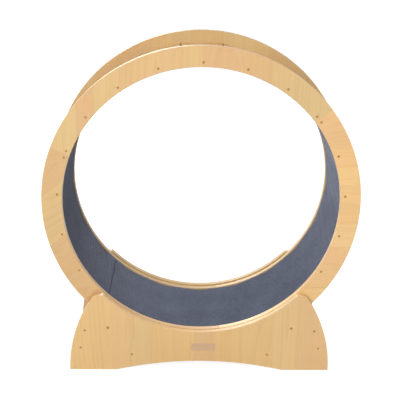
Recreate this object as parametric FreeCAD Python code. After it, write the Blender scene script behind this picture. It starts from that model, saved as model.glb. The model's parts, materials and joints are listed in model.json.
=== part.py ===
"""Wooden cat exercise wheel on a low two-panel base, millimetres.

Frame: +Z up, +Y is the wheel's axle direction, the front faces -Y.
The origin lies on the floor, straight under the middle of the wheel.
Angles round the wheel are clockwise from the top, seen from the front.
"""
import FreeCAD
import Part
import math
import os

Vec = FreeCAD.Vector

# ---- the wheel -------------------------------------------------------------
RING_OUTER_R = 500.0        # rim that runs on the rollers
RING_W = 64.0               # rim to hole
RING_T = 18.0               # thickness of the ring boards
WHEEL_WIDTH = 320.0         # over both rings
FLOOR_GAP = 76.0            # rim above the floor
ARCS_PER_RING = 3
FIRST_JOINT_SLAT = 3        # the slat that backs the first joint between arcs
JOINT_GAP = 0.2             # glue line between two arcs
EDGE_R = 1.5                # eased edges of rings and base panels

SLAT_COUNT = 21
SLAT_STEP = 7.0             # ring's hole to the inner face of a slat
SLAT_T = 15.0
SLAT_GAP = 0.4              # between neighbours at their inner edges
SLAT_EDGE_R = 1.2           # eased long edges outside

LINER_T = 6.0               # felt carpet on the slats
LINER_SEAM_SLAT = -8        # the butt seam lies on this slat
LINER_SEAM_GAP = 0.8
LINER_END_GAP = 0.5         # from the liner's edge to the ring

JOINT_SCREW_STEP = 11.0     # ring screw to the joint beside it
RING_DOWEL_STEPS = (32.0, 50.0)     # ring's hole to each dowel in a joint
DOWEL_D = 8.0
DOWEL_LEN = 30.0

# ---- the base --------------------------------------------------------------
PANEL_T = 18.0
PANEL_GAP = 8.0             # ring face to base panel
FOOT_HALF = 430.0           # half width of a panel at the floor
ARCH_HALF = 276.0           # half width of the arch between the feet
ARCH_RISE = 34.0
ARCH_END_R = 60.0           # bend from the arch to a foot
CRADLE_STEP = 2.0           # hollow top edge stands this far inside the ring's hole
HORN_Z = 275.0              # top of the horns above the floor
HORN_W = 29.5               # level top of a horn before its corners are rounded
HORN_OUTER_R = 20.0
HORN_INNER_R = 6.0
FOOT_CORNER_R = 2.0

SIDE_BOARD_T = 18.0
SIDE_BOARD_LEN = 158.0      # up the flared side
SIDE_INSET = 30.0           # flared edge to the middle of the board behind it
SIDE_SCREW_LOW_Z = 83.0
SIDE_SCREW_HIGH_Z = 147.0
BOARD_EDGE_R = 1.5          # eased long edges of side boards and beams

BEAM_X = 224.0
BEAM_Z = 59.0
BEAM_W = 44.0
BEAM_DOWEL_STEP = 13.0      # dowel to the screw beside it
BEAM_DOWEL_IN_PANEL = 11.0

PLATE_W = 79.0              # blank plate let into the front panel
PLATE_H = 27.0
PLATE_T = 1.0
PLATE_X = 12.0
PLATE_Z = 87.0
PLATE_CORNER_R = 2.0

# ---- rollers and shafts ----------------------------------------------------
ROLLER_ANGLE = 35.7         # from straight down to each shaft
TREAD_R = 15.0
FLANGE_R = 21.0
FLANGE_T = 3.0
FLANGE_PLAY = 0.8           # ring face to flange
TREAD_GAP = 0.3             # rim to tread at rest
SHAFT_D = 8.0
BEARING_OD = 22.0
BEARING_W = 7.0
RACE_INNER_OD = 12.1
RACE_OUTER_ID = 18.9
BALL_D = 3.96
BALLS_PER_BEARING = 7
SHIELD_T = 0.4
SHIELD_INSET = 0.3          # shield below the end of the bearing
SHIELD_PLAY = 0.25          # shield to inner race
SHIELD_SEAT = 0.3           # shield pressed into the outer race
SLEEVE_OD = 11.6
SHOULDER_R = 9.6            # roller bore between its two bearings

# ---- screws ----------------------------------------------------------------
WOOD_SCREW_D = 4.0
WOOD_SCREW_HEAD_D = 8.0
RING_SCREW_LEN = 45.0
PANEL_SCREW_LEN = 50.0
SHAFT_SCREW_D = 5.0
SHAFT_SCREW_HEAD_D = 10.0
SHAFT_SCREW_LEN = 34.0
SCREW_SINK = 0.4            # head below the wood
SCREW_TIP = 5.0
SHAFT_SCREW_TIP = 1.0       # blunt end with a chamfer
SLOT_W = 1.1                # each bar of the cross recess
SLOT_DEPTH = 1.4
SLOT_SPAN = 1.1             # length of each bar over the shank's diameter
TIP_SHARE = 0.2             # a screw's end over its shank

# ---- fits ------------------------------------------------------------------
HOLE_FIT = 0.05             # radial, round screws, dowels and shafts
BEARING_FIT = 0.02          # radial, bearing in roller and on shaft
HOLE_END = 1.0              # hole past the end of a screw or dowel

# ---- worked out ------------------------------------------------------------
AXIS_Z = RING_OUTER_R + FLOOR_GAP
RING_INNER_R = RING_OUTER_R - RING_W
SLAT_INNER_R = RING_INNER_R + SLAT_STEP
RING_SCREW_R = SLAT_INNER_R + SLAT_T / 2
HALF_WIDTH = WHEEL_WIDTH / 2
RING_BACK = HALF_WIDTH - RING_T
PANEL_IN = HALF_WIDTH + PANEL_GAP
PANEL_OUT = PANEL_IN + PANEL_T
SLAT_PITCH = 360.0 / SLAT_COUNT
SLAT_W = 2 * SLAT_INNER_R * math.tan(math.radians(SLAT_PITCH / 2)) - SLAT_GAP
JOINT_SLATS = [round(FIRST_JOINT_SLAT + k * SLAT_COUNT / ARCS_PER_RING)
               for k in range(ARCS_PER_RING)]
SHAFT_R = RING_OUTER_R + TREAD_GAP + TREAD_R
SHAFT_X = SHAFT_R * math.sin(math.radians(ROLLER_ANGLE))
SHAFT_Z = AXIS_Z - SHAFT_R * math.cos(math.radians(ROLLER_ANGLE))
CRADLE_R = RING_INNER_R - CRADLE_STEP
HORN_INNER_X = math.sqrt(CRADLE_R ** 2 - (AXIS_Z - HORN_Z) ** 2)
HORN_OUTER_X = HORN_INNER_X + HORN_W
FLARE = FOOT_HALF - HORN_OUTER_X
SIDE_R = (FLARE ** 2 + HORN_Z ** 2) / (2 * FLARE)   # upright at the floor
ROLLER_OUT = HALF_WIDTH + FLANGE_PLAY + FLANGE_T
ROLLER_IN = RING_BACK - FLANGE_PLAY - FLANGE_T
SIDES = {"left": -1, "right": 1}
ENDS = {"front": -1, "rear": 1}


# ---- helpers ---------------------------------------------------------------
def at_wheel(radius, degrees, y=0.0):
    """Point at a radius and clockwise angle about the wheel's centre."""
    a = math.radians(degrees)
    return Vec(radius * math.sin(a), y, AXIS_Z + radius * math.cos(a))


def cylinder(radius, length, start, direction):
    return Part.makeCylinder(radius, length, start, direction)


def tube(outer_r, inner_r, y0, y1, x, z):
    """Tube along Y from y0 to y1."""
    start = Vec(x, y0, z)
    way = Vec(0, 1, 0)
    shape = cylinder(outer_r, y1 - y0, start, way)
    return shape.cut(cylinder(inner_r, y1 - y0, start, way))


def box_at(centre, size_x, size_y, size_z):
    corner = centre - Vec(size_x / 2, size_y / 2, size_z / 2)
    return Part.makeBox(size_x, size_y, size_z, corner)


def arc(a, b, c):
    return Part.Arc(a, b, c).toShape()


def line(a, b):
    return Part.LineSegment(a, b).toShape()


def plate(edges, y0, y1):
    """Flat board between y0 and y1 from an outline drawn at y0."""
    face = Part.Face(Part.Wire(Part.__sortEdges__(edges)))
    return face.extrude(Vec(0, y1 - y0, 0))


def ease(shape, radius, wanted):
    """Round the edges that wanted() accepts."""
    return shape.makeFillet(radius, [e for e in shape.Edges if wanted(e)])


def screw(head_d, shank_d, length, tip):
    """Countersunk screw: head face at the origin, shank along +Y."""
    head_h = (head_d - shank_d) / 2
    r = shank_d / 2
    points = [Vec(0, 0, 0), Vec(head_d / 2, 0, 0), Vec(r, head_h, 0),
              Vec(r, length - tip, 0), Vec(r * TIP_SHARE, length, 0), Vec(0, length, 0)]
    outline = Part.makePolygon(points + points[:1])
    body = Part.Face(outline).revolve(Vec(0, 0, 0), Vec(0, 1, 0), 360)
    bar = shank_d * SLOT_SPAN
    cross = box_at(Vec(0, SLOT_DEPTH / 2, 0), bar, SLOT_DEPTH, SLOT_W)
    cross = cross.fuse(box_at(Vec(0, SLOT_DEPTH / 2, 0), SLOT_W, SLOT_DEPTH, bar))
    return body.cut(cross)


def screw_hole(head_d, shank_d, length):
    """Countersunk hole for screw(), from just outside the wood."""
    head_h = (head_d - shank_d) / 2
    r = shank_d / 2 + HOLE_FIT
    top = head_d / 2 + HOLE_FIT
    lip = SCREW_SINK + 0.5
    points = [Vec(0, -lip, 0), Vec(top, -lip, 0), Vec(top, 0, 0),
              Vec(r, head_h + HOLE_FIT, 0), Vec(r, length + HOLE_END, 0),
              Vec(0, length + HOLE_END, 0)]
    outline = Part.makePolygon(points + points[:1])
    return Part.Face(outline).revolve(Vec(0, 0, 0), Vec(0, 1, 0), 360)


def placed(shape, x, z, face_y, end):
    """Screw or hole set on the outer face of the front or rear board."""
    copy = shape.copy()
    if end > 0:
        copy.rotate(Vec(0, 0, 0), Vec(0, 0, 1), 180)
    copy.translate(Vec(x, end * (face_y - SCREW_SINK), z))
    return copy


def cut_all(shape, tools):
    return shape.cut(tools) if tools else shape


def near(shape, tools):
    """The tools whose boxes reach the shape."""
    box = shape.BoundBox
    return [t for t in tools if box.intersect(t.BoundBox)]


# ---- the wheel's pieces ----------------------------------------------------
def ring_screw_places():
    """x and z of each screw in one ring."""
    places = []
    for slat in range(SLAT_COUNT):
        steps = [0.0]
        if slat in JOINT_SLATS:
            step = math.degrees(JOINT_SCREW_STEP / RING_SCREW_R)
            steps = [-step, step]
        for step in steps:
            p = at_wheel(RING_SCREW_R, slat * SLAT_PITCH + step)
            places.append((p.x, p.z))
    return places


def ring_dowels(end, extra_r=0.0, extra_len=0.0):
    """Dowels across the joints of one ring, or their holes."""
    pins = []
    y = end * (HALF_WIDTH - RING_T / 2)
    length = DOWEL_LEN + 2 * extra_len
    for joint_slat in JOINT_SLATS:
        angle = joint_slat * SLAT_PITCH
        a = math.radians(angle)
        way = Vec(math.cos(a), 0, -math.sin(a))
        for step in RING_DOWEL_STEPS:
            start = at_wheel(RING_INNER_R + step, angle, y) - way * (length / 2)
            pins.append(cylinder(DOWEL_D / 2 + extra_r, length, start, way))
    return pins


def ring_arc(number, end, holes):
    """One arc of a ring, from one joint to the next."""
    half_gap = math.degrees(JOINT_GAP / 2 / RING_INNER_R)
    start = JOINT_SLATS[number] * SLAT_PITCH + half_gap
    following = JOINT_SLATS[(number + 1) % ARCS_PER_RING]
    span = (following - JOINT_SLATS[number]) % SLAT_COUNT
    stop = start + (span or SLAT_COUNT) * SLAT_PITCH - 2 * half_gap
    middle = (start + stop) / 2
    y0, y1 = sorted((end * RING_BACK, end * HALF_WIDTH))
    outer = [at_wheel(RING_OUTER_R, t, y0) for t in (start, middle, stop)]
    inner = [at_wheel(RING_INNER_R, t, y0) for t in (start, middle, stop)]
    board = plate([arc(*outer), line(outer[2], inner[2]),
                   arc(inner[2], inner[1], inner[0]), line(inner[0], outer[0])], y0, y1)

    def is_rim(edge):
        return isinstance(edge.Curve, Part.Circle) and edge.Length > RING_INNER_R * 0.5
    board = ease(board, EDGE_R, is_rim)
    return cut_all(board, near(board, holes))


def slat(number, holes):
    """Flat board between the rings."""
    board = box_at(Vec(0, 0, AXIS_Z + SLAT_INNER_R + SLAT_T / 2),
                   SLAT_W, 2 * RING_BACK, SLAT_T)

    def is_outer_long(edge):
        return edge.Length > RING_BACK and edge.CenterOfMass.z > AXIS_Z + SLAT_INNER_R + 1
    board = ease(board, SLAT_EDGE_R, is_outer_long)
    board.rotate(Vec(0, 0, AXIS_Z), Vec(0, 1, 0), number * SLAT_PITCH)
    return cut_all(board, near(board, holes))


def liner():
    """Felt carpet, flat on each slat, with a butt seam."""
    half = SLAT_PITCH / 2
    y0 = LINER_END_GAP - RING_BACK
    prisms = []
    for flat_r in (SLAT_INNER_R, SLAT_INNER_R - LINER_T):
        corner_r = flat_r / math.cos(math.radians(half))
        corners = [at_wheel(corner_r, k * SLAT_PITCH + half, y0) for k in range(SLAT_COUNT)]
        face = Part.Face(Part.makePolygon(corners + corners[:1]))
        prisms.append(face.extrude(Vec(0, -2 * y0, 0)))
    felt = prisms[0].cut(prisms[1])
    knife = box_at(Vec(0, 0, AXIS_Z + SLAT_INNER_R), LINER_SEAM_GAP, 2 * RING_BACK, 4 * LINER_T)
    knife.rotate(Vec(0, 0, AXIS_Z), Vec(0, 1, 0), LINER_SEAM_SLAT * SLAT_PITCH)
    return felt.cut(knife)


# ---- the base's pieces -----------------------------------------------------
def side_x(z):
    """Half width of a panel at a height, on its flared side."""
    return FOOT_HALF - SIDE_R + math.sqrt(SIDE_R ** 2 - z ** 2)


def side_screws():
    """x and z of the lower and the upper side screw."""
    return [(side_x(z) - SIDE_INSET, z) for z in (SIDE_SCREW_LOW_Z, SIDE_SCREW_HIGH_Z)]


def panel_outline(y):
    """Feet, arch, flared sides, horns and the hollow under the wheel."""
    arch = arc(Vec(-ARCH_HALF, y, 0), Vec(0, y, ARCH_RISE), Vec(ARCH_HALF, y, 0))
    hollow = arc(Vec(-HORN_INNER_X, y, HORN_Z), Vec(0, y, AXIS_Z - CRADLE_R),
                 Vec(HORN_INNER_X, y, HORN_Z))
    edges = [arch, hollow]
    for s in SIDES.values():
        side_foot = Vec(s * FOOT_HALF, y, 0)
        side_mid = Vec(s * side_x(HORN_Z / 2), y, HORN_Z / 2)
        side_top = Vec(s * HORN_OUTER_X, y, HORN_Z)
        edges += [line(side_foot, Vec(s * ARCH_HALF, y, 0)),
                  arc(side_foot, side_mid, side_top),
                  line(side_top, Vec(s * HORN_INNER_X, y, HORN_Z))]
    return edges


def base_panel(end, holes):
    y0, y1 = sorted((end * PANEL_IN, end * PANEL_OUT))
    board = plate(panel_outline(y0), y0, y1)

    def corner(x, z):
        def found(edge):
            c = edge.CenterOfMass
            return abs(abs(c.x) - x) < 0.1 and abs(c.z - z) < 0.1 and abs(c.y) < PANEL_OUT - 1
        return found
    board = ease(board, HORN_OUTER_R, corner(HORN_OUTER_X, HORN_Z))
    board = ease(board, HORN_INNER_R, corner(HORN_INNER_X, HORN_Z))
    board = ease(board, FOOT_CORNER_R, corner(FOOT_HALF, 0))
    board = ease(board, ARCH_END_R, corner(ARCH_HALF, 0))

    def outer_edge(edge):
        return abs(abs(edge.CenterOfMass.y) - PANEL_OUT) < 0.01
    board = ease(board, EDGE_R, outer_edge)

    def inner_edge(edge):
        return abs(abs(edge.CenterOfMass.y) - PANEL_IN) < 0.01
    board = ease(board, EDGE_R, inner_edge)
    return cut_all(board, near(board, holes))


def is_long(edge):
    """Edge that runs from panel to panel."""
    return abs(edge.Length - 2 * PANEL_IN) < 0.01


def side_board(side, holes):
    """Board that follows the flared side between the panels."""
    low, high = [Vec(side * x, 0, z) for x, z in side_screws()]
    middle = (low + high) * 0.5
    lean = math.degrees(math.atan2(high.x - low.x, high.z - low.z))
    board = box_at(middle, SIDE_BOARD_T, 2 * PANEL_IN, SIDE_BOARD_LEN)
    board = ease(board, BOARD_EDGE_R, is_long)
    board.rotate(middle, Vec(0, 1, 0), lean)
    return cut_all(board, near(board, holes))


def beam(side, holes):
    """Square beam low between the panels."""
    bar = box_at(Vec(side * BEAM_X, 0, BEAM_Z), BEAM_W, 2 * PANEL_IN, BEAM_W)
    bar = ease(bar, BOARD_EDGE_R, is_long)
    return cut_all(bar, near(bar, holes))


def beam_dowels(extra_r=0.0, extra_len=0.0):
    """Two dowels beside the screw at each end of each beam, or their holes."""
    pins = []
    for side in SIDES.values():
        for end in ENDS.values():
            for step in (-BEAM_DOWEL_STEP, BEAM_DOWEL_STEP):
                outer = PANEL_IN + BEAM_DOWEL_IN_PANEL + extra_len
                inner = outer - DOWEL_LEN - 2 * extra_len
                y0, y1 = sorted((end * inner, end * outer))
                start = Vec(side * BEAM_X + step, y0, BEAM_Z)
                pins.append(cylinder(DOWEL_D / 2 + extra_r, y1 - y0, start, Vec(0, 1, 0)))
    return pins


def panel_screw_places():
    places = []
    for side in SIDES.values():
        places += [(side * x, z) for x, z in side_screws()]
        places.append((side * BEAM_X, BEAM_Z))
    return places


def blank_plate(extra=0.0):
    """Plain plate in its pocket on the front face, or the pocket."""
    y0 = -PANEL_OUT
    middle = Vec(PLATE_X, y0 + PLATE_T / 2, PLATE_Z)
    board = box_at(middle, PLATE_W + 2 * extra, PLATE_T, PLATE_H + 2 * extra)

    def is_corner(edge):
        return abs(edge.CenterOfMass.y - middle.y) < 0.01 and edge.Length < PLATE_T * 1.01
    return ease(board, PLATE_CORNER_R, is_corner)


# ---- rollers ---------------------------------------------------------------
def roller(side, end):
    """Flanged roller: the ring's rim runs between its flanges."""
    x = side * SHAFT_X
    bore = BEARING_OD / 2 + BEARING_FIT
    points = [(SHOULDER_R, ROLLER_IN + BEARING_W), (bore, ROLLER_IN + BEARING_W),
              (bore, ROLLER_IN), (FLANGE_R, ROLLER_IN), (FLANGE_R, ROLLER_IN + FLANGE_T),
              (TREAD_R, ROLLER_IN + FLANGE_T), (TREAD_R, ROLLER_OUT - FLANGE_T),
              (FLANGE_R, ROLLER_OUT - FLANGE_T), (FLANGE_R, ROLLER_OUT), (bore, ROLLER_OUT),
              (bore, ROLLER_OUT - BEARING_W), (SHOULDER_R, ROLLER_OUT - BEARING_W)]
    outline = Part.makePolygon([Vec(r, y, 0) for r, y in points + points[:1]])
    spool = Part.Face(outline).revolve(Vec(0, 0, 0), Vec(0, 1, 0), 360)
    if end < 0:
        spool.rotate(Vec(0, 0, 0), Vec(0, 0, 1), 180)
    spool.translate(Vec(x, 0, SHAFT_Z))
    return spool


def bearing_starts(end):
    """Lowest y of both bearings in a roller."""
    outer = sorted((end * ROLLER_OUT, end * (ROLLER_OUT - BEARING_W)))[0]
    inner = sorted((end * ROLLER_IN, end * (ROLLER_IN + BEARING_W)))[0]
    return [outer, inner]


def ball_track(x, y):
    pitch_r = (RACE_INNER_OD + RACE_OUTER_ID) / 4
    centre = Vec(x, y + BEARING_W / 2, SHAFT_Z)
    return Part.makeTorus(pitch_r, BALL_D / 2 + HOLE_FIT, centre, Vec(0, 1, 0))


def outer_race(side, y):
    """Outer race with its two shields."""
    x = side * SHAFT_X
    race = tube(BEARING_OD / 2, RACE_OUTER_ID / 2, y, y + BEARING_W, x, SHAFT_Z)
    race = race.cut(ball_track(x, y))
    shield_in = RACE_INNER_OD / 2 + SHIELD_PLAY
    for start in (y + SHIELD_INSET, y + BEARING_W - SHIELD_INSET - SHIELD_T):
        race = race.fuse(tube(RACE_OUTER_ID / 2 + SHIELD_SEAT, shield_in, start, start + SHIELD_T,
                              x, SHAFT_Z))
    return race


def inner_race(side, y):
    x = side * SHAFT_X
    race = tube(RACE_INNER_OD / 2, SHAFT_D / 2 + BEARING_FIT, y, y + BEARING_W, x, SHAFT_Z)
    return race.cut(ball_track(x, y))


def bearing_balls(side, y):
    pitch_r = (RACE_INNER_OD + RACE_OUTER_ID) / 4
    balls = []
    for k in range(BALLS_PER_BEARING):
        a = 2 * math.pi * k / BALLS_PER_BEARING
        centre = Vec(side * SHAFT_X + pitch_r * math.sin(a), y + BEARING_W / 2,
                     SHAFT_Z + pitch_r * math.cos(a))
        balls.append(Part.makeSphere(BALL_D / 2, centre))
    return balls


def shaft(side, holes):
    start = Vec(side * SHAFT_X, -PANEL_IN, SHAFT_Z)
    bar = cylinder(SHAFT_D / 2, 2 * PANEL_IN, start, Vec(0, 1, 0))
    return cut_all(bar, near(bar, holes))


def sleeve(side):
    """Long tube that keeps the front and rear rollers apart."""
    return tube(SLEEVE_OD / 2, SHAFT_D / 2 + HOLE_FIT, -ROLLER_IN, ROLLER_IN,
                side * SHAFT_X, SHAFT_Z)


def shaft_spacers():
    """Short tubes: inside each roller, and from roller to panel."""
    rings = []
    spans = [(ROLLER_IN + BEARING_W, ROLLER_OUT - BEARING_W), (ROLLER_OUT, PANEL_IN)]
    for side in SIDES.values():
        for end in ENDS.values():
            for span in spans:
                y0, y1 = sorted(end * y for y in span)
                rings.append(tube(SLEEVE_OD / 2, SHAFT_D / 2 + HOLE_FIT, y0, y1,
                                  side * SHAFT_X, SHAFT_Z))
    return rings


# ---- build and write -------------------------------------------------------
def main():
    os.makedirs("parts", exist_ok=True)
    nodes = {}
    wood_screw = {n: screw(WOOD_SCREW_HEAD_D, WOOD_SCREW_D, n, SCREW_TIP)
                  for n in (RING_SCREW_LEN, PANEL_SCREW_LEN)}
    wood_hole = {n: screw_hole(WOOD_SCREW_HEAD_D, WOOD_SCREW_D, n)
                 for n in (RING_SCREW_LEN, PANEL_SCREW_LEN)}
    shaft_screw = screw(SHAFT_SCREW_HEAD_D, SHAFT_SCREW_D, SHAFT_SCREW_LEN,
                        SHAFT_SCREW_TIP)
    shaft_hole = screw_hole(SHAFT_SCREW_HEAD_D, SHAFT_SCREW_D, SHAFT_SCREW_LEN)

    ring_places = ring_screw_places()
    slat_holes = []
    all_dowels = []
    for name, end in ENDS.items():
        screws = [placed(wood_screw[RING_SCREW_LEN], x, z, HALF_WIDTH, end)
                  for x, z in ring_places]
        holes = [placed(wood_hole[RING_SCREW_LEN], x, z, HALF_WIDTH, end)
                 for x, z in ring_places]
        nodes[name + "_ring_screws"] = screws
        slat_holes += holes
        all_dowels += ring_dowels(end)
        ring_holes = holes + ring_dowels(end, HOLE_FIT, HOLE_END)
        for number in range(ARCS_PER_RING):
            nodes["%s_ring_arc_%d" % (name, number + 1)] = [ring_arc(number, end, ring_holes)]
    nodes["ring_dowels"] = all_dowels
    for number in range(SLAT_COUNT):
        nodes["slat_%02d" % (number + 1)] = [slat(number, slat_holes)]
    nodes["carpet_liner"] = [liner()]

    dowel_holes = beam_dowels(HOLE_FIT, HOLE_END)
    nodes["beam_dowels"] = beam_dowels()
    frame_holes = list(dowel_holes)
    shaft_holes = []
    shaft_screws = []
    for name, end in ENDS.items():
        panel_holes = [placed(wood_hole[PANEL_SCREW_LEN], x, z, PANEL_OUT, end)
                       for x, z in panel_screw_places()]
        nodes[name + "_panel_screws"] = [
            placed(wood_screw[PANEL_SCREW_LEN], x, z, PANEL_OUT, end)
            for x, z in panel_screw_places()]
        end_holes = [placed(shaft_hole, side * SHAFT_X, SHAFT_Z, PANEL_OUT, end)
                     for side in SIDES.values()]
        shaft_screws += [placed(shaft_screw, side * SHAFT_X, SHAFT_Z, PANEL_OUT, end)
                         for side in SIDES.values()]
        frame_holes += panel_holes
        shaft_holes += end_holes
        pocket = [blank_plate(HOLE_FIT)] if end < 0 else []
        nodes[name + "_base_panel"] = [
            base_panel(end, panel_holes + end_holes + dowel_holes + pocket)]
    nodes["blank_plate"] = [blank_plate()]
    nodes["shaft_screws"] = shaft_screws

    for name, side in SIDES.items():
        nodes[name + "_side_board"] = [side_board(side, frame_holes)]
        nodes[name + "_lower_beam"] = [beam(side, frame_holes)]
        nodes[name + "_shaft"] = [shaft(side, shaft_holes)]
        nodes[name + "_shaft_sleeve"] = [sleeve(side)]
    nodes["shaft_spacers"] = shaft_spacers()

    inner_races = []
    balls = []
    for end_name, end in ENDS.items():
        for side_name, side in SIDES.items():
            place = "%s_%s" % (end_name, side_name)
            nodes[place + "_roller"] = [roller(side, end)]
            starts = bearing_starts(end)
            nodes[place + "_bearing_shells"] = [outer_race(side, y) for y in starts]
            inner_races += [inner_race(side, y) for y in starts]
            for y in starts:
                balls += bearing_balls(side, y)
    nodes["bearing_inner_races"] = inner_races
    nodes["bearing_balls"] = balls

    for name, solids in nodes.items():
        shape = solids[0] if len(solids) == 1 else Part.makeCompound(solids)
        shape.exportStep("parts/%s.step" % name)
    print(len(nodes), "nodes,", sum(len(s) for s in nodes.values()), "solids")


main()
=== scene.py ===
"""Looks of the wooden exercise wheel: pine boards, felt lining, zinced screws, rollers.

Metres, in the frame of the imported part: +Z up, +Y along the axle, front towards -Y.
Angles round the wheel are clockwise from the top, seen from the front.
"""
import json
import math
import random
import bpy
import numpy as np
from mathutils import Matrix, Vector


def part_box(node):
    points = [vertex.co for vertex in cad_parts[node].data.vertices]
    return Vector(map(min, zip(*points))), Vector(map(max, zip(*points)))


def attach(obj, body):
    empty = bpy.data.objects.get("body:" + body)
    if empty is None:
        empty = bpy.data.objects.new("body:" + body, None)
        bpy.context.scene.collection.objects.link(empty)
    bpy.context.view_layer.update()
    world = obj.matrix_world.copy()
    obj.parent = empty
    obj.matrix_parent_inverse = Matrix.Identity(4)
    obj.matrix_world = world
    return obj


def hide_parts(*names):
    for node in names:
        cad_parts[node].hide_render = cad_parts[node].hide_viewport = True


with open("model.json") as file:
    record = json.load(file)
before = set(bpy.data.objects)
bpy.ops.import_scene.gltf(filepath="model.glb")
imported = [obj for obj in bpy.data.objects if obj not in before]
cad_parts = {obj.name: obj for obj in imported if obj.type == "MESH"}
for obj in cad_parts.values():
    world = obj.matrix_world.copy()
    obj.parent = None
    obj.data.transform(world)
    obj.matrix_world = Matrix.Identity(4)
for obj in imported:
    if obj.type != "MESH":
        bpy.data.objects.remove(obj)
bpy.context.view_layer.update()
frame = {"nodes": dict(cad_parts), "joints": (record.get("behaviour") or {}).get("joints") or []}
NODES = frame["nodes"]
PIVOT = {j["child"]: Vector(j["pos_m"]) for j in frame["joints"]}
HUB = PIVOT["wheel"]

# ---- what the scene takes from the frame ------------------------------------
SLATS = sorted(n for n in NODES if n.startswith("slat_"))
ARCS = sorted(n for n in NODES if "_ring_arc_" in n)
ENDS = ("front", "rear")                    # as the lowest and highest corner of a box
SLAT_PITCH = 2 * math.pi / len(SLATS)
SLAT_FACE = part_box(SLATS[0])[0].z - HUB.z   # hub to the inner face of a slat
FELT_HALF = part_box("carpet_liner")[1].y     # half the felt's width

# ---- the felt ---------------------------------------------------------------
FELT_T = 0.0059
FELT_SEAM = -8 * SLAT_PITCH                 # the two ends meet here
FELT_SEAM_GAP = 0.0012
FELT_SEAM_PRESS = 0.35                      # share of the thickness lost at the seam
FELT_SEAM_RUN = 0.004                       # length of felt pressed down at each end
FELT_BEND_R = 0.14                          # felt bridges each slat joint in an arc
FELT_BACK_BEND_R = 0.02                     # its back keeps closer to the corners
FELT_BACK_GAP = 0.0001                      # between its back and the slats
FELT_EDGE_R = 0.0017                        # soft cut edges
FELT_EDGE_BAND = 0.012                      # width that the long cut edges disturb
FELT_RAGGED = 0.0004                        # how far a hand-cut edge wanders to each side
FELT_LOFT = 0.00022                         # height of each wave in the pile
FELT_WAVES = ((61, 40, 0.0), (143, -95, 1.3))   # per radian round, per metre across, phase
FELT_STEPS = 1050                           # points along the strip
FELT_LANES = 33                             # points across each face
FELT_EDGE_STEPS = 5                         # points round each cut edge

# ---- pine: lengths in metres --------------------------------------------------
PINE_GRAIN = {"1": 90, "2": 50, "3": 0}     # each ring arc's grain, in degrees round the wheel
REAR_GRAIN_TURN = 3                         # the rear ring's grain lies this much further on
# each arc's brightness; the right arc's high value is partly a paler board and partly painted
# light falling from the right
ARC_SHADE = {"1": 1.18, "2": 0.97, "3": 0.975}
REAR_ARC_PAINTED_SHADE = 0.96                       # times the shade of an arc; this darkening is painted shade, as the rear ring lies behind the front one
PANEL_SHADE = {"front": 1.06, "rear": 1.0}
SLAT_SHADE = 0.97
INNER_SHADE = 0.93                          # boards between the panels
DOWEL_SHADE = 0.8
# knotty: share of the places for a knot that hold one; the second value greys the wood, which is
# painted shade on the rear ring and panel, as they lie behind the front ones
END_WOOD = {"front": {"knotty": 0.02, "muted": 0.0}, "rear": {"knotty": 0.12, "muted": 0.3}}
ARC_STAVE = 0.085                           # width of a stave in an arc's panel
PANEL_STAVE = 0.088
STAVE_WAVE = 3.3                            # staves per wave of their widths
STAVE_SPREAD = 0.32                         # how far a joint moves off an even grid, in staves
GLUE_W = 0.0007
GLUE_SHADE = 0.88
YEAR = 0.0032                               # one year's growth
PITH_DEPTH = 0.045                          # least depth of the pith line behind the face
PITH_SPREAD = 0.07                          # how far boards differ in that depth, and sideways
PITH_LEAN_ASIDE = 0.02                      # how far they differ in its lean, per metre of grain
PITH_LEAN_DOWN = 0.075
PITH_WANDER_ASIDE = 0.012
PITH_WANDER_DOWN = 0.010
RIPPLE = 0.0016                             # small waves in the growth rings
KNOT_GRID = 0.17                            # one place for a knot in each cell of this size
KNOT_REACH = 1 / 55                         # fibres swing round a knot within this distance
KNOT_SWING = 0.010                          # the most that they swing
KNOT_R = (0.0085, 0.0045)                   # a knot's edge, from outside to full colour
KNOT_HALO_R = (0.020, 0.006)
LATE_WEIGHT = 0.42                          # how far late wood goes to its darker tone
HALO_WEIGHT = 0.35
CUT_END_WEIGHT = 0.26

# ---- the camera, the floor and the light --------------------------------------
CAMERA_AT = Vector((-0.050, -2.560, 1.476))
PITCH_DOWN = math.radians(20.15)
YAW_RIGHT = math.radians(1.08)
ROLL = math.radians(0.8)
FOCAL_PX = 819.0                            # focal length in pixels of the photo
PHOTO_PX = 400.0
SENSOR_MM = 36.0
FLOOR_HALF = 60.0
FLOOR_GREY = 0.45
FLOOR_GLOW = 0.84                           # to the camera only: white with the lamps on it
ROOM_GLOW = 0.36                            # the world's light; 1 to the camera, which is white
LAMPS_AIM = Vector((0, 0, 0.55))
LAMPS = {"key": ((-1.6, -3.2, 2.5), 2.2, 90.0),     # place, diameter, watts
         "fill": ((2.7, -2.7, 1.6), 2.4, 30.0),
         "back": ((-1.2, 2.8, 2.6), 2.2, 100.0)}


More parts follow.
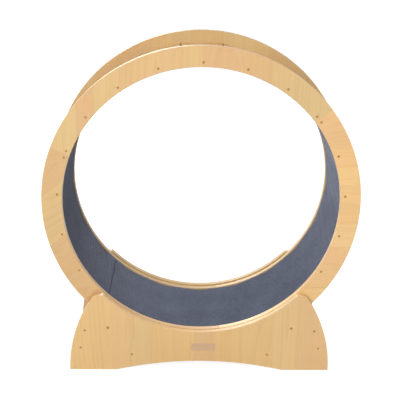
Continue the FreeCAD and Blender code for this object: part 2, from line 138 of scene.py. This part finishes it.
# ---- shader arithmetic --------------------------------------------------------
class Value:
    """A shader socket that takes part in Python arithmetic."""

    def __init__(self, tree, socket):
        self.tree = tree
        self.socket = socket

    def _math(self, operation, *others):
        node = self.tree.nodes.new("ShaderNodeMath")
        node.operation = operation
        for slot, value in zip(node.inputs, others):
            put(self.tree, slot, value)
        return Value(self.tree, node.outputs[0])

    def __add__(self, other):
        return self._math("ADD", self, other)

    def __radd__(self, other):
        return self._math("ADD", other, self)

    def __sub__(self, other):
        return self._math("SUBTRACT", self, other)

    def __rsub__(self, other):
        return self._math("SUBTRACT", other, self)

    def __mul__(self, other):
        return self._math("MULTIPLY", self, other)

    def __rmul__(self, other):
        return self._math("MULTIPLY", other, self)

    def __truediv__(self, other):
        return self._math("DIVIDE", self, other)

    def __pow__(self, other):
        return self._math("POWER", self, other)

    def floor(self):
        return self._math("FLOOR", self)

    def fract(self):
        return self._math("FRACT", self)

    def sin(self):
        return self._math("SINE", self)

    def sqrt(self):
        return self._math("SQRT", self)

    def abs(self):
        return self._math("ABSOLUTE", self)

    def least(self, other):
        return self._math("MINIMUM", self, other)

    def most(self, other):
        return self._math("MAXIMUM", self, other)

    def over(self, low, high):
        """0 below low, 1 above high, smooth between; falls where low is above high."""
        return add_node(self.tree, "MapRange", settings={"interpolation_type": "SMOOTHSTEP"},
                        Value=self, From_Min=low, From_Max=high, To_Min=0, To_Max=1)


def put(tree, slot, value):
    """A link for a Value, a default for anything else."""
    if isinstance(value, Value):
        tree.links.new(value.socket, slot)
    else:
        slot.default_value = value


def add_node(tree, kind, out=0, settings=(), **sockets):
    """Any node but Math: its type, its settings, which go first, and the values or links of its
    sockets. A socket goes by its label, with _ for a space, or by its number, as in _0."""
    made = tree.nodes.new("ShaderNode" + kind)
    for key, value in dict(settings).items():
        setattr(made, key, value)
    for key, value in sockets.items():
        which = int(key[1:]) if key[1:].isdigit() else key.replace("_", " ")
        put(tree, made.inputs[which], value)
    return Value(tree, made.outputs[out])


def outputs(value, names):
    """Several outputs of the node that a value comes from."""
    return [Value(value.tree, value.socket.node.outputs[name]) for name in names]


def seen_directly(tree):
    """1 for a ray from the camera, also off a mirror or through glass; 0 for light on things."""
    camera, glossy, through = outputs(add_node(tree, "LightPath"), (
        "Is Camera Ray", "Is Glossy Ray", "Is Transmission Ray"))
    return (camera + glossy + through).least(1.0)


class Finish:
    """One material; its methods add nodes, and done() links the shader."""

    def __init__(self, name, **constants):
        self.material = bpy.data.materials.new(name)
        self.material.use_nodes = True
        self.tree = self.material.node_tree
        self.shader = self.tree.nodes["Principled BSDF"]
        for socket, value in constants.items():
            self.shader.inputs[socket.replace("_", " ")].default_value = value

    def node(self, kind, out=0, settings=(), **sockets):
        return add_node(self.tree, kind, out, settings, **sockets)

    def place(self, origin, turn=(0, 0, 0)):
        """Object coordinates in a board's own axes."""
        return self.node("Mapping", settings={"vector_type": "TEXTURE"},
                         Vector=self.node("TexCoord", out="Object"), Location=tuple(origin),
                         Rotation=tuple(turn))

    def split(self, vector):
        return outputs(self.node("SeparateXYZ", Vector=vector), range(3))

    def join(self, x, y, z):
        return self.node("CombineXYZ", X=x, Y=y, Z=z)

    def noise(self, vector, scale, detail=3.0, roughness=0.5):
        return self.node("TexNoise", Vector=vector, Scale=scale, Detail=detail,
                         Roughness=roughness)

    def mix(self, factor, low, high):
        """Colour from low to high."""
        return self.node("Mix", out=2, settings={"data_type": "RGBA"}, _0=factor, _6=low,
                         _7=high)

    def tint(self, colour, factor):
        """Colour times a grey value."""
        return self.node("VectorMath", settings={"operation": "SCALE"}, _0=colour, Scale=factor)

    def bump(self, height, distance, strength):
        return self.node("Bump", Height=height, Distance=distance, Strength=strength)

    def done(self, **links):
        for socket, value in links.items():
            put(self.tree, self.shader.inputs[socket.replace("_", " ")], value)
        return self.material


def srgb(red, green, blue):
    """Linear colour with alpha from 0-255 screen values."""
    parts = [c / 255 for c in (red, green, blue)]
    return tuple(c / 12.92 if c <= 0.04045 else ((c + 0.055) / 1.055) ** 2.4
                 for c in parts) + (1.0,)


def between(share, low, high):
    """Colour that lies at a share of the way from low to high."""
    return tuple(a + (b - a) * share for a, b in zip(low, high))


# ---- materials ----------------------------------------------------------------
PINE_PALE = srgb(236, 201, 141)
PINE_WARM = srgb(233, 190, 127)
PINE_ROSY = srgb(231, 185, 132)
PINE_LATE = srgb(196, 145, 84)
# the grey that the wood is taken towards to paint shade on it
PINE_PAINTED_SHADE = srgb(172, 162, 124)
PINE_KNOT = srgb(120, 70, 32)
FELT_HAIR = srgb(176, 184, 200)
FELT_SHEEN = srgb(200, 206, 220)
FELT_BLUES = srgb(51, 55, 64), srgb(101, 107, 128)      # dark, light, here and below
ZINC = srgb(150, 113, 62), srgb(206, 166, 106)
NYLON = srgb(34, 35, 38), srgb(58, 60, 64)
STEEL = srgb(150, 152, 156), srgb(205, 206, 210)
ALUMINIUM = srgb(176, 178, 182), srgb(214, 215, 218)
PLATE = srgb(206, 168, 130), srgb(224, 186, 148)


def one_board(dice, x, tones):
    """A board in one piece: its three draws, its tone, the distance from its middle, and 1 for
    the shade of its joints, as it has none."""
    r1, r2, r3 = [dice.random() for _ in range(3)]
    pale, warm, rosy = tones
    return (r1, r2, r3), between(r3 * 0.6, between(r2, pale, warm), rosy), x, 1.0


def glued_staves(f, dice, x, width, tones):
    """A panel of staves: what one_board gives, for the stave at x. The joints lie at whole
    numbers of x over the width, with x moved by a sine so that the staves' widths differ."""
    wave = (x * (2 * math.pi / (width * STAVE_WAVE)) + dice.uniform(0, 6)).sin()
    share = (x + wave * (width * STAVE_SPREAD)) / width + dice.uniform(0, 1)
    cell = share.floor()
    draws = f.split(f.node("TexWhiteNoise", out="Color", settings={"noise_dimensions": "1D"},
                           W=cell + dice.uniform(0, 90)))
    pale, warm, rosy = tones
    tone = f.mix(draws[2].over(0.32, 1.0) * 0.72, f.mix(draws[1], pale, warm), rosy)
    off = share - cell - 0.5
    to_glue = (0.5 - off.abs()) * width
    return draws, tone, off * width, GLUE_SHADE + to_glue.over(0.0, GLUE_W) * (1 - GLUE_SHADE)


def knots(f, dice, x, z, share):
    """Distance to the nearest place for a knot, one in each cell of a grid, and 1 where that
    place holds a knot, which a share of them do."""
    spots = f.join(x / KNOT_GRID, 0.37, z / KNOT_GRID + dice.uniform(0, 50))
    far, colour = outputs(f.node("TexVoronoi", Vector=spots, Scale=1.0), ("Distance", "Color"))
    return far * KNOT_GRID, f.split(colour)[0].over(1 - share, 1.01 - share)


def years(f, at, side, draws, swing):
    """Age of the wood: the distance from the pith line over one year's growth. The line lies
    behind the face and to a side, leans and wanders along the grain, and swing adds to the
    distance near a knot."""
    x, y, z = at
    r1, r2, r3 = draws
    wander = f.noise(f.join(x * 7, y * 7, z * 1.5 + r1 * 9), 1.0, 2.0)
    ripple = f.noise(f.join(x * 60, y * 60, z * 9), 1.0, 2.0)
    aside = (side - (r1 - 0.5) * PITH_SPREAD + z * ((r3 - 0.5) * PITH_LEAN_ASIDE)
             + (wander - 0.5) * PITH_WANDER_ASIDE)
    below = (y + PITH_DEPTH + r2 * PITH_SPREAD + z * ((r3 - 0.45) * PITH_LEAN_DOWN)
             + (wander - 0.5) * PITH_WANDER_DOWN)
    radius = (aside * aside + below * below).sqrt() + (ripple - 0.5) * RIPPLE + swing
    return radius / YEAR


def pine(name, origin, across, grain, seed, stave=0.0, shade=1.0, knotty=0.12, muted=0.0):
    """Clear-coated pine. Growth rings are cylinders about a pith line behind the board and
    nearly along its grain, so a flat face shows long cathedral figures and an end shows arcs.
    A glued panel has a pith line, a tint and a tilt of its own for each stave; knotty is the
    share of the places for a knot that hold one, and the last argument greys the wood, which
    paints shade onto it."""
    dice = random.Random(seed)
    # taking the three tones towards a dull grey paints shade onto the wood
    tones = [between(muted, tone, PINE_PAINTED_SHADE) for tone in (PINE_PALE, PINE_WARM, PINE_ROSY)]
    f = Finish(name, Specular_IOR_Level=0.5, Coat_Roughness=0.24, Coat_Weight=0.35)
    across, grain = Vector(across).normalized(), Vector(grain).normalized()
    turn = Matrix((across, grain.cross(across), grain)).transposed().to_euler()
    local = f.place(origin, turn)
    x, y, z = f.split(local)
    if stave:
        draws, base, side, joint = glued_staves(f, dice, x, stave, tones)
    else:
        draws, base, side, joint = one_board(dice, x, tones)
    knot_far, has_knot = knots(f, dice, x, z, knotty)
    swing = (1.0 - knot_far / KNOT_REACH).most(0.0) ** 2.0 * has_knot * KNOT_SWING
    year = years(f, (x, y, z), side, draws, swing)
    season = year.fract()
    late = season.over(0.35, 0.93) * season.over(1.0, 0.94)
    # each year's line has a strength of its own, and streaks run along the fibres
    yearly = f.noise(f.join(year.floor() * 3.7, draws[1] * 40, 0.0), 1.0, 0.0)
    fibre = f.noise(f.join(x * 900, y * 900, z * 14), 1.0, 3.0, 0.6)
    streak = f.noise(f.join(x * 42, y * 42, z * 1.1), 1.0, 3.0, 0.55)
    cloud = f.noise(local, 5.0, 2.0)
    line = (late * (0.10 + yearly * 0.36) + (streak - 0.5) * 0.85).most(0.0).least(1.0)
    wood = f.mix(line * LATE_WEIGHT, base, PINE_LATE)
    # a knot has rings of its own and a darker halo
    knot = knot_far.over(*KNOT_R) * has_knot
    halo = knot_far.over(*KNOT_HALO_R) * has_knot
    wood = f.mix(halo * HALO_WEIGHT, wood, PINE_LATE)
    wood = f.mix(knot * (0.62 + (knot_far * 2600.0).sin() * 0.18), wood, PINE_KNOT)
    # cut ends of the fibres drink more of the finish and look browner
    facing = f.node("VectorMath", out=1, settings={"operation": "DOT_PRODUCT"},
                    _0=f.node("TexCoord", out="Normal"), _1=tuple(grain)).abs()
    wood = f.mix(facing.over(0.65, 0.95) * CUT_END_WEIGHT, wood, PINE_LATE)
    level = 0.955 + (draws[0] - 0.5) * 0.055 + (fibre - 0.5) * 0.10 + (cloud - 0.5) * 0.10
    return f.done(Base_Color=f.tint(wood, level * (joint * shade)),
                  Roughness=0.46 + (fibre - 0.5) * 0.16 + late * 0.05,
                  Normal=f.bump(fibre * 0.35 + late * 0.5, 0.00012, 0.5))


def felt(name):
    """Needle felt: matted fibres of several blues, clouded where the pile lies differently."""
    f = Finish(name, Roughness=0.95, Specular_IOR_Level=0.15, Sheen_Weight=0.35,
               Sheen_Roughness=0.45, Sheen_Tint=FELT_SHEEN)
    at = f.node("TexCoord", out="Object")
    x, y, z = f.split(at)
    hairs = f.noise(at, 520.0, 4.0, 0.7)
    crossed = f.noise(f.join(x * 1500, y * 240, z * 1500), 1.0, 2.0)
    mat = f.noise(at, 95.0, 3.0, 0.6)
    cloud = f.noise(at, 9.0, 2.0)
    tone = (hairs - 0.5) * 1.3 + (mat - 0.5) * 0.5 + (cloud - 0.5) * 0.6 + 0.5
    colour = f.mix(tone.most(0.0).least(1.0), *FELT_BLUES)
    pale = crossed.over(0.62, 0.72) * hairs.over(0.45, 0.6)
    colour = f.mix(pale * 0.5, colour, FELT_HAIR)
    return f.done(Base_Color=colour,
                  Normal=f.bump(hairs * 0.7 + crossed * 0.3 + mat * 0.6, 0.0006, 0.7))


def zinced(name):
    """Yellow zinc on the screws, duller in flecks."""
    f = Finish(name, Metallic=1.0)
    at = f.node("TexCoord", out="Object")
    worn = f.noise(at, 900.0, 3.0, 0.6)
    colour = f.mix(worn.over(0.4, 0.65), *ZINC)
    return f.done(Base_Color=colour, Roughness=0.36 + (worn - 0.5) * 0.3,
                  Normal=f.bump(worn, 0.00004, 0.6))


def turned(name, dark, light, centre, metal, rough, pitch=0.0006):
    """Lathe-turned piece: fine tool rings about its own axle and along its length."""
    f = Finish(name, Metallic=metal)
    x, y, z = f.split(f.place(centre))
    ring = (x * x + z * z).sqrt()
    turns = 2 * math.pi / pitch
    tool = ((ring * turns).sin() + (y * turns).sin()) * 0.25 + 0.5
    grime = f.noise(f.join(x, y, z), 160.0)
    colour = f.mix(grime * 0.7 + tool * 0.3, dark, light)
    return f.done(Base_Color=colour, Roughness=rough + (grime - 0.5) * 0.2,
                  Normal=f.bump(tool + grime * 0.5, 0.00003, 0.6))


def brushed(name, dark, light, metal, rough):
    """Drawn or brushed surface, with its lines along X."""
    f = Finish(name, Metallic=metal)
    x, y, z = f.split(f.node("TexCoord", out="Object"))
    lines = f.noise(f.join(x * 30, y * 2600, z * 2600), 1.0, 3.0, 0.6)
    cloud = f.noise(f.join(x, y, z), 60.0, 2.0)
    colour = f.mix(lines * 0.7 + cloud * 0.3, dark, light)
    return f.done(Base_Color=colour, Roughness=rough + (lines - 0.5) * 0.15,
                  Normal=f.bump(lines, 0.00003, 0.5))


def dress(node, material):
    """The CAD node keeps its shape and takes this material."""
    data = NODES[node].data
    data.materials.clear()
    data.materials.append(material)


def radial(angle):
    """Unit vector from the hub, at an angle clockwise from the top."""
    return Vector((math.sin(angle), 0, math.cos(angle)))


def dress_wood():
    """Each board gets pine with its own grain, on the face that shows, and its own seed."""
    for index, node in enumerate(ARCS):
        end, place = node.split("_")[0], node[-1]
        degrees, shade = PINE_GRAIN[place], ARC_SHADE[place]
        if end == "rear":
            degrees += REAR_GRAIN_TURN
            # the rear ring is darkened here: painted shade
            shade *= REAR_ARC_PAINTED_SHADE
        grain = radial(math.radians(degrees))
        across = Vector((grain.z, 0, -grain.x))
        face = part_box(node)[ENDS.index(end)].y
        dress(node, pine(node + "_pine", (HUB.x, face, HUB.z), across, grain, 11 + index,
                         stave=ARC_STAVE, shade=shade, **END_WOOD[end]))
    for index, node in enumerate(SLATS):
        out = radial(index * SLAT_PITCH)
        across = Vector((out.z, 0, -out.x))
        dress(node, pine(node + "_pine", HUB + out * SLAT_FACE, across, (0, 1, 0), 40 + index,
                         shade=SLAT_SHADE))
    for index, end in enumerate(ENDS):
        node = end + "_base_panel"
        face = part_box(node)[index].y
        dress(node, pine(node + "_pine", (0, face, 0), (1, 0, 0), (0, 0, 1), 74 + index,
                         stave=PANEL_STAVE, shade=PANEL_SHADE[end], **END_WOOD[end]))
    inner = ("left_side_board", "right_side_board", "left_lower_beam", "right_lower_beam")
    for index, node in enumerate(inner):
        low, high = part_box(node)
        dress(node, pine(node + "_pine", (low + high) / 2, (0, 0, 1), (0, 1, 0), 80 + index,
                         shade=INNER_SHADE))
    dress("ring_dowels", pine("ring_dowel_beech", HUB, (1, 0, 0), (0, 0, 1), 90,
                              shade=DOWEL_SHADE))
    dress("beam_dowels", pine("beam_dowel_beech", (0, 0, 0), (1, 0, 0), (0, 1, 0), 91,
                              shade=DOWEL_SHADE))


def dress_metal():
    """Screws, rollers, bearings, shafts, tubes and the plate."""
    zinc = zinced("zinced_screw")
    for node in NODES:
        if node.endswith("_screws"):
            dress(node, zinc)
    for child, pivot in PIVOT.items():
        if child == "wheel":
            continue
        place = child.replace("_roller", "")
        dress(child, turned(child + "_nylon", *NYLON, pivot, metal=0.0, rough=0.45))
        dress(place + "_bearing_shells", turned(place + "_shell_steel", *STEEL, pivot, metal=1.0,
                                                rough=0.25, pitch=0.0004))
    ground = brushed("ground_steel", *STEEL, metal=1.0, rough=0.30)
    satin = brushed("satin_aluminium", *ALUMINIUM, metal=1.0, rough=0.38)
    for node in ("left_shaft", "right_shaft", "bearing_inner_races", "bearing_balls"):
        dress(node, ground)
    for node in ("left_shaft_sleeve", "right_shaft_sleeve", "shaft_spacers"):
        dress(node, satin)
    dress("blank_plate", brushed("plate_satin", *PLATE, metal=0.0, rough=0.42))


# ---- the felt lining ------------------------------------------------------------
def strip_mesh(name, points):
    """Solid strip from an array of points[u, v]: u along it, v round its cross-section, quads
    between neighbours, and a cap on each end."""
    rows, cols = points.shape[:2]
    index = np.arange(rows * cols).reshape(rows, cols)
    ahead = np.roll(index, -1, axis=1)
    quads = np.stack([index[:-1], index[1:], ahead[1:], ahead[:-1]], -1)
    faces = quads.reshape(-1, 4).tolist() + [index[0].tolist(), index[-1][::-1].tolist()]
    mesh = bpy.data.meshes.new(name)
    mesh.from_pydata(points.reshape(-1, 3), [], faces)
    mesh.validate()
    mesh.polygons.foreach_set("use_smooth", [True] * len(mesh.polygons))
    made = bpy.data.objects.new(name, mesh)
    bpy.context.scene.collection.objects.link(made)
    return made


def drum(off, flat, bend):
    """Distance from the hub to a polygon with its flats at flat, at angles off from the middle
    of a flat; arcs of radius bend touch both flats at each corner."""
    half = SLAT_PITCH / 2
    centre = (flat - bend) / math.cos(half)                            # of an arc, from the hub
    touch = math.atan(centre * math.sin(half) / flat)                  # from the flat's middle
    from_corner = half - np.abs(off)
    height = bend ** 2 - (centre * np.sin(from_corner)) ** 2
    arc = centre * np.cos(from_corner) + np.sqrt(np.maximum(height, 0))
    return np.where(np.abs(off) > touch, arc, flat / np.cos(off))


def felt_section():
    """Points round the strip's cross-section: two flat faces, and half circles, pressed to the
    felt's thickness, for the cut edges. Gives each one's place across the strip, and its depth
    as a share of the thickness, from 0 at the back to 1 at the pile."""
    flat = np.linspace(-1, 1, FELT_LANES) * (FELT_HALF - FELT_EDGE_R)
    bow = np.linspace(0, math.pi, FELT_EDGE_STEPS + 2)[1:-1]
    edge = FELT_HALF - FELT_EDGE_R + FELT_EDGE_R * np.sin(bow)
    sink = 0.5 + 0.5 * np.cos(bow)
    width = np.concatenate([flat, edge, flat[::-1], -edge])
    depth = np.concatenate([np.ones(FELT_LANES), sink, np.zeros(FELT_LANES), 1 - sink])
    return width, depth


def felt_lining():
    """Carpet strip round the drum, from one side of the seam to the other. Its back lies on the
    slats, a polygon; its face is that polygon moved in by the thickness, with wide arcs for
    corners, low waves in the pile, and pressed down at the seam."""
    half_span = math.pi - FELT_SEAM_GAP / 2 / SLAT_FACE
    turn = FELT_SEAM + math.pi
    angle = np.linspace(turn - half_span, turn + half_span, FELT_STEPS)
    off = (angle + SLAT_PITCH / 2) % SLAT_PITCH - SLAT_PITCH / 2       # from a slat's middle
    back = drum(off, SLAT_FACE - FELT_BACK_GAP, FELT_BACK_BEND_R)[:, None]
    face = drum(off, SLAT_FACE - FELT_T, FELT_BEND_R)[:, None]
    width, depth = felt_section()
    a, w = np.meshgrid(angle, width, indexing="ij")
    edge = np.clip((np.abs(w) - FELT_HALF + FELT_EDGE_BAND) / FELT_EDGE_BAND, 0, 1)
    loft = FELT_LOFT * sum(np.sin(a * turns + w * rows + phase)
                           for turns, rows, phase in FELT_WAVES)
    to_end = np.minimum(angle - angle[0], angle[-1] - angle)[:, None] * SLAT_FACE
    pressed = FELT_SEAM_PRESS * np.clip(1 - to_end / FELT_SEAM_RUN, 0, 1) ** 2
    thick = (back - face) * (1 - pressed) + loft * (1 - edge)
    r = back - thick * depth
    ragged = FELT_RAGGED * (np.sin(a * 97) * np.sin(a * 31 + 2.0) - 1)     # always inwards
    y = w + ragged * np.sign(w) * edge
    points = np.stack([r * np.sin(a) + HUB.x, y + HUB.y, r * np.cos(a) + HUB.z], -1)
    piece = strip_mesh("felt_lining", points)
    piece.data.materials.append(felt("grey_blue_felt"))
    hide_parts("carpet_liner")
    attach(piece, "wheel")
    middle = r.mean(1)
    length = float(np.sum(np.hypot(np.diff(middle * np.sin(angle)),
                                   np.diff(middle * np.cos(angle)))))


# ---- stage, light, camera ---------------------------------------------------------
def stage_floor():
    """Pale floor: the camera sees its lit side as white and keeps the soft shadow."""
    mesh = bpy.data.meshes.new("floor")
    corners = [(-1, -1), (1, -1), (1, 1), (-1, 1)]
    mesh.from_pydata([(x * FLOOR_HALF, y * FLOOR_HALF, 0) for x, y in corners], [],
                     [(0, 1, 2, 3)])
    floor = bpy.data.objects.new("floor", mesh)
    bpy.context.scene.collection.objects.link(floor)
    f = Finish("pale_floor", Roughness=0.9, Specular_IOR_Level=0.1,
               Base_Color=(FLOOR_GREY, FLOOR_GREY, FLOOR_GREY, 1), Emission_Color=(1, 1, 1, 1))
    mesh.materials.append(f.done(Emission_Strength=seen_directly(f.tree) * FLOOR_GLOW))


def light_room():
    """White room: dim to the object, white to the camera, with three soft round lamps."""
    world = bpy.data.worlds.new("white_room")
    world.use_nodes = True
    tree = world.node_tree
    glow = tree.nodes["Background"]
    glow.inputs["Color"].default_value = (1, 1, 1, 1)
    put(tree, glow.inputs["Strength"], seen_directly(tree) * (1 - ROOM_GLOW) + ROOM_GLOW)
    bpy.context.scene.world = world
    for name, (at, size, watts) in LAMPS.items():
        data = bpy.data.lights.new(name, "AREA")
        data.shape = "DISK"
        data.size = size
        data.energy = watts
        lamp = bpy.data.objects.new(name, data)
        bpy.context.scene.collection.objects.link(lamp)
        lamp.location = at
        lamp.rotation_euler = (LAMPS_AIM - Vector(at)).to_track_quat("-Z", "Y").to_euler()


def photo_camera():
    """The photograph's view: forward from yaw and pitch, then rolled about it."""
    forward = Vector((math.sin(YAW_RIGHT) * math.cos(PITCH_DOWN),
                      math.cos(YAW_RIGHT) * math.cos(PITCH_DOWN), -math.sin(PITCH_DOWN)))
    right = Vector((math.cos(YAW_RIGHT), -math.sin(YAW_RIGHT), 0))
    up = right.cross(forward)
    turned_right = right * math.cos(ROLL) + up * math.sin(ROLL)
    turned_up = up * math.cos(ROLL) - right * math.sin(ROLL)
    data = bpy.data.cameras.new("photo_camera")
    data.sensor_width = SENSOR_MM
    data.lens = FOCAL_PX / PHOTO_PX * SENSOR_MM
    camera = bpy.data.objects.new("photo_camera", data)
    bpy.context.scene.collection.objects.link(camera)
    basis = Matrix((turned_right, turned_up, -forward)).transposed().to_4x4()
    camera.matrix_world = Matrix.Translation(CAMERA_AT) @ basis
    bpy.context.scene.camera = camera


photo_camera()
stage_floor()
light_room()
dress_wood()
dress_metal()
felt_lining()
bpy.context.scene.view_settings.view_transform = "Standard"
